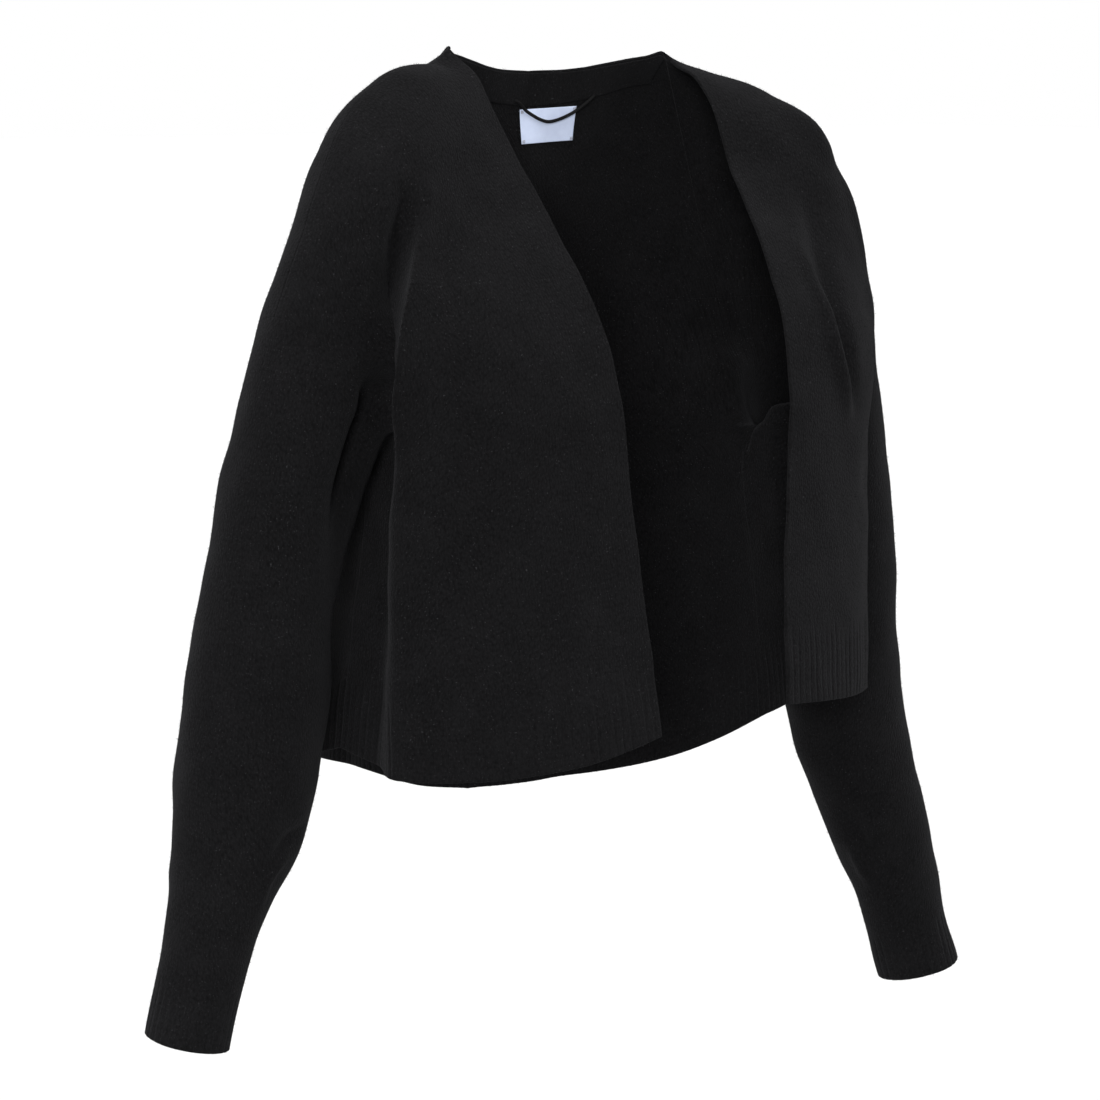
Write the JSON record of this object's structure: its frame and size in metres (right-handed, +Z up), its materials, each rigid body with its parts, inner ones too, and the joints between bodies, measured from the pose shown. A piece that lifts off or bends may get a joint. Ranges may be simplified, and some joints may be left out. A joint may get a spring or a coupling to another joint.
{
  "type": "open-front knitted cardigan",
  "caption": "Cropped, open-front knitted cardigan with a V neckline, dropped shoulders, long sleeves and ribbed hem and cuffs, filled out as when worn.",
  "frame": {"origin": "midway between the two neck points, where the shoulder seams meet the neckline", "axes": "+Z up, -Y the way the wearer faces, +X towards the wearer's left"},
  "size_m": [0.8091, 0.2907, 0.7706],
  "materials": {
    "knit": "black felted knit, matt",
    "rib": "black ribbed knit, matt",
    "facing": "black knit facing, matt",
    "label": "bare woven label, satin",
    "cord": "black cord, matt"
  },
  "bodies": {
    "root": {"back": "knit", "front_right": "knit", "front_left": "knit", "sleeve_right": "knit", "sleeve_left": "knit", "hem_rib_back": "rib", "hem_rib_front_right": "rib", "hem_rib_front_left": "rib", "cuff_right": "rib", "cuff_left": "rib", "neck_facing": "facing", "label": "label", "hanging_loop": "cord"}
  },
  "joints": []
}
